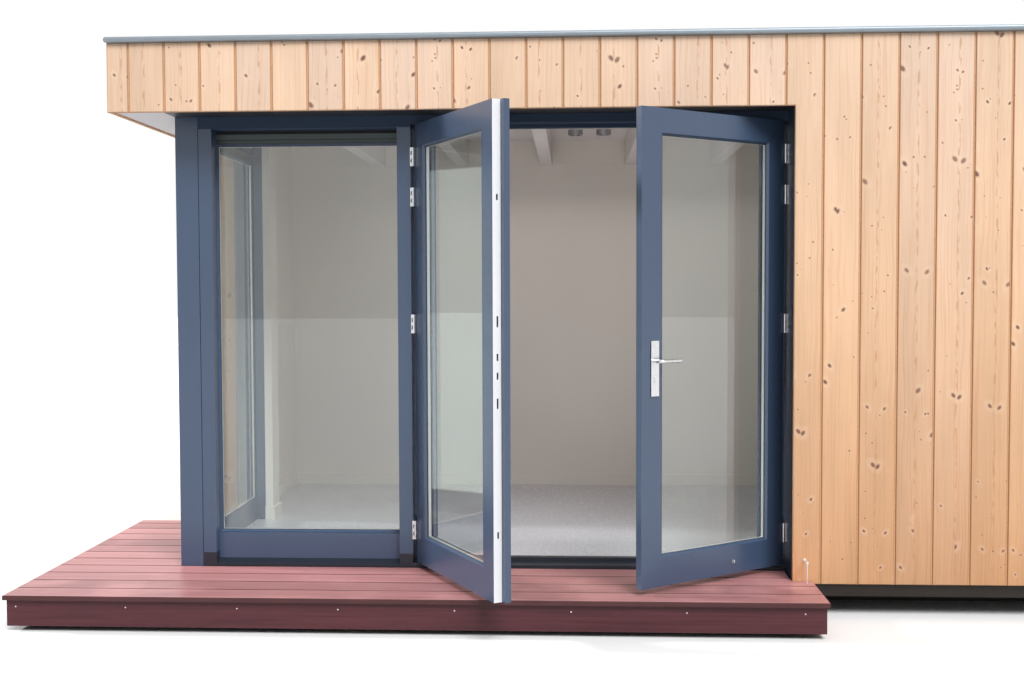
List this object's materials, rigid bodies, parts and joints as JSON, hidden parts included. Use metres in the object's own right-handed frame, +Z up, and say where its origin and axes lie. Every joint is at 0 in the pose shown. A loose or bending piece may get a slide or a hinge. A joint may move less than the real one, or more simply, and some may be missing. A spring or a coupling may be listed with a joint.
{
  "type": "garden office pod",
  "caption": "Timber-clad garden office pod with a flat roof, a glazed corner, outward-opening glazed double doors and a low deck wrapping the corner.",
  "frame": {"origin": "on the ground under the middle of the clad body, on the underside of the middle sleeper", "axes": "+X along the front to the right, +Y from the front into the building, +Z up"},
  "size_m": [5.473, 3.4375, 2.698],
  "materials": {
    "cladding": "oiled softwood boards",
    "joinery": "satin blue-grey paint",
    "dark_trim": "dark satin paint",
    "vent": "grey-green powder coat",
    "glass": "clear sealed unit",
    "steel": "satin stainless",
    "deck": "red-brown hardwood",
    "roof_metal": "mill finish",
    "roof_sheet": "matt membrane",
    "white_paint": "matt white paint",
    "floor_sheet": "smooth grey sheet floor",
    "rough_timber": "sawn treated timber",
    "light_fitting": "satin"
  },
  "bodies": {
    "building": {"back_wall": "white_paint", "ceiling": "white_paint", "ceiling_joists": "white_paint", "cladding_back": "cladding", "cladding_fascia": "cladding", "cladding_front": "cladding", "cladding_left": "cladding", "cladding_left_fascia": "cladding", "cladding_return": "cladding", "cladding_right": "cladding", "corner_post": "joinery", "deck_bearers": "rough_timber", "deck_boards": "deck", "deck_fascia": "deck", "downlights": "light_fitting", "floor": "floor_sheet", "floor_frame": "rough_timber", "foundation_sleepers": "rough_timber", "frame_heads": "joinery", "frame_hinges": "steel", "front_frame_uprights": "joinery", "front_lintel": "white_paint", "front_plinth_blocks": "dark_trim", "front_soffit": "dark_trim", "front_wall": "white_paint", "hook_pivot": "steel", "left_wall": "white_paint", "reveal_panel": "joinery", "right_wall": "white_paint", "roof": "roof_sheet", "roof_edge_long": "roof_metal", "roof_edge_short": "roof_metal", "side_frame_stiles": "joinery", "side_lintel": "white_paint", "side_plinth_blocks": "dark_trim", "side_soffit": "white_paint", "sills": "dark_trim", "skirting": "white_paint", "vent_grilles": "vent", "window_bottom_rails": "joinery", "window_glass": "glass"},
    "left_door": {"left_leaf_stiles": "joinery", "left_leaf_rails": "joinery", "left_leaf_glass": "glass", "left_leaf_hinges": "steel", "left_strike_plates": "steel"},
    "right_door": {"right_leaf_stiles": "joinery", "right_leaf_rails": "joinery", "right_leaf_glass": "glass", "right_leaf_hinges": "steel", "lock_plates": "steel", "leaf_hook_eye": "steel"},
    "handle": {"lever_handle": "steel"},
    "hook": {"wind_hook": "steel"}
  },
  "joints": [
    {"name": "left_door_hinge", "type": "hinge", "parent": "building", "child": "left_door", "pos_m": [-1.1445, -1.214, 1.2515], "axis": [0, 0, -1], "range_deg": [-61.3, 103.7]},
    {"name": "right_door_hinge", "type": "hinge", "parent": "building", "child": "right_door", "pos_m": [0.6275, -1.214, 1.2515], "axis": [0, 0, 1], "range_deg": [-37, 53]},
    {"name": "lever_turn", "type": "hinge", "parent": "right_door", "child": "handle", "pos_m": [-0.02221, -1.69358, 1.2], "axis": [-0.6018, 0.7986, 0], "range_deg": [0, 45], "stiffness_Nm_per_rad": 1, "springref_deg": -57.3},
    {"name": "hook_swing", "type": "hinge", "parent": "building", "child": "hook", "pos_m": [0.6885, -1.489, 0.265], "axis": [0, 1, 0], "range_deg": [-90, 25]}
  ]
}
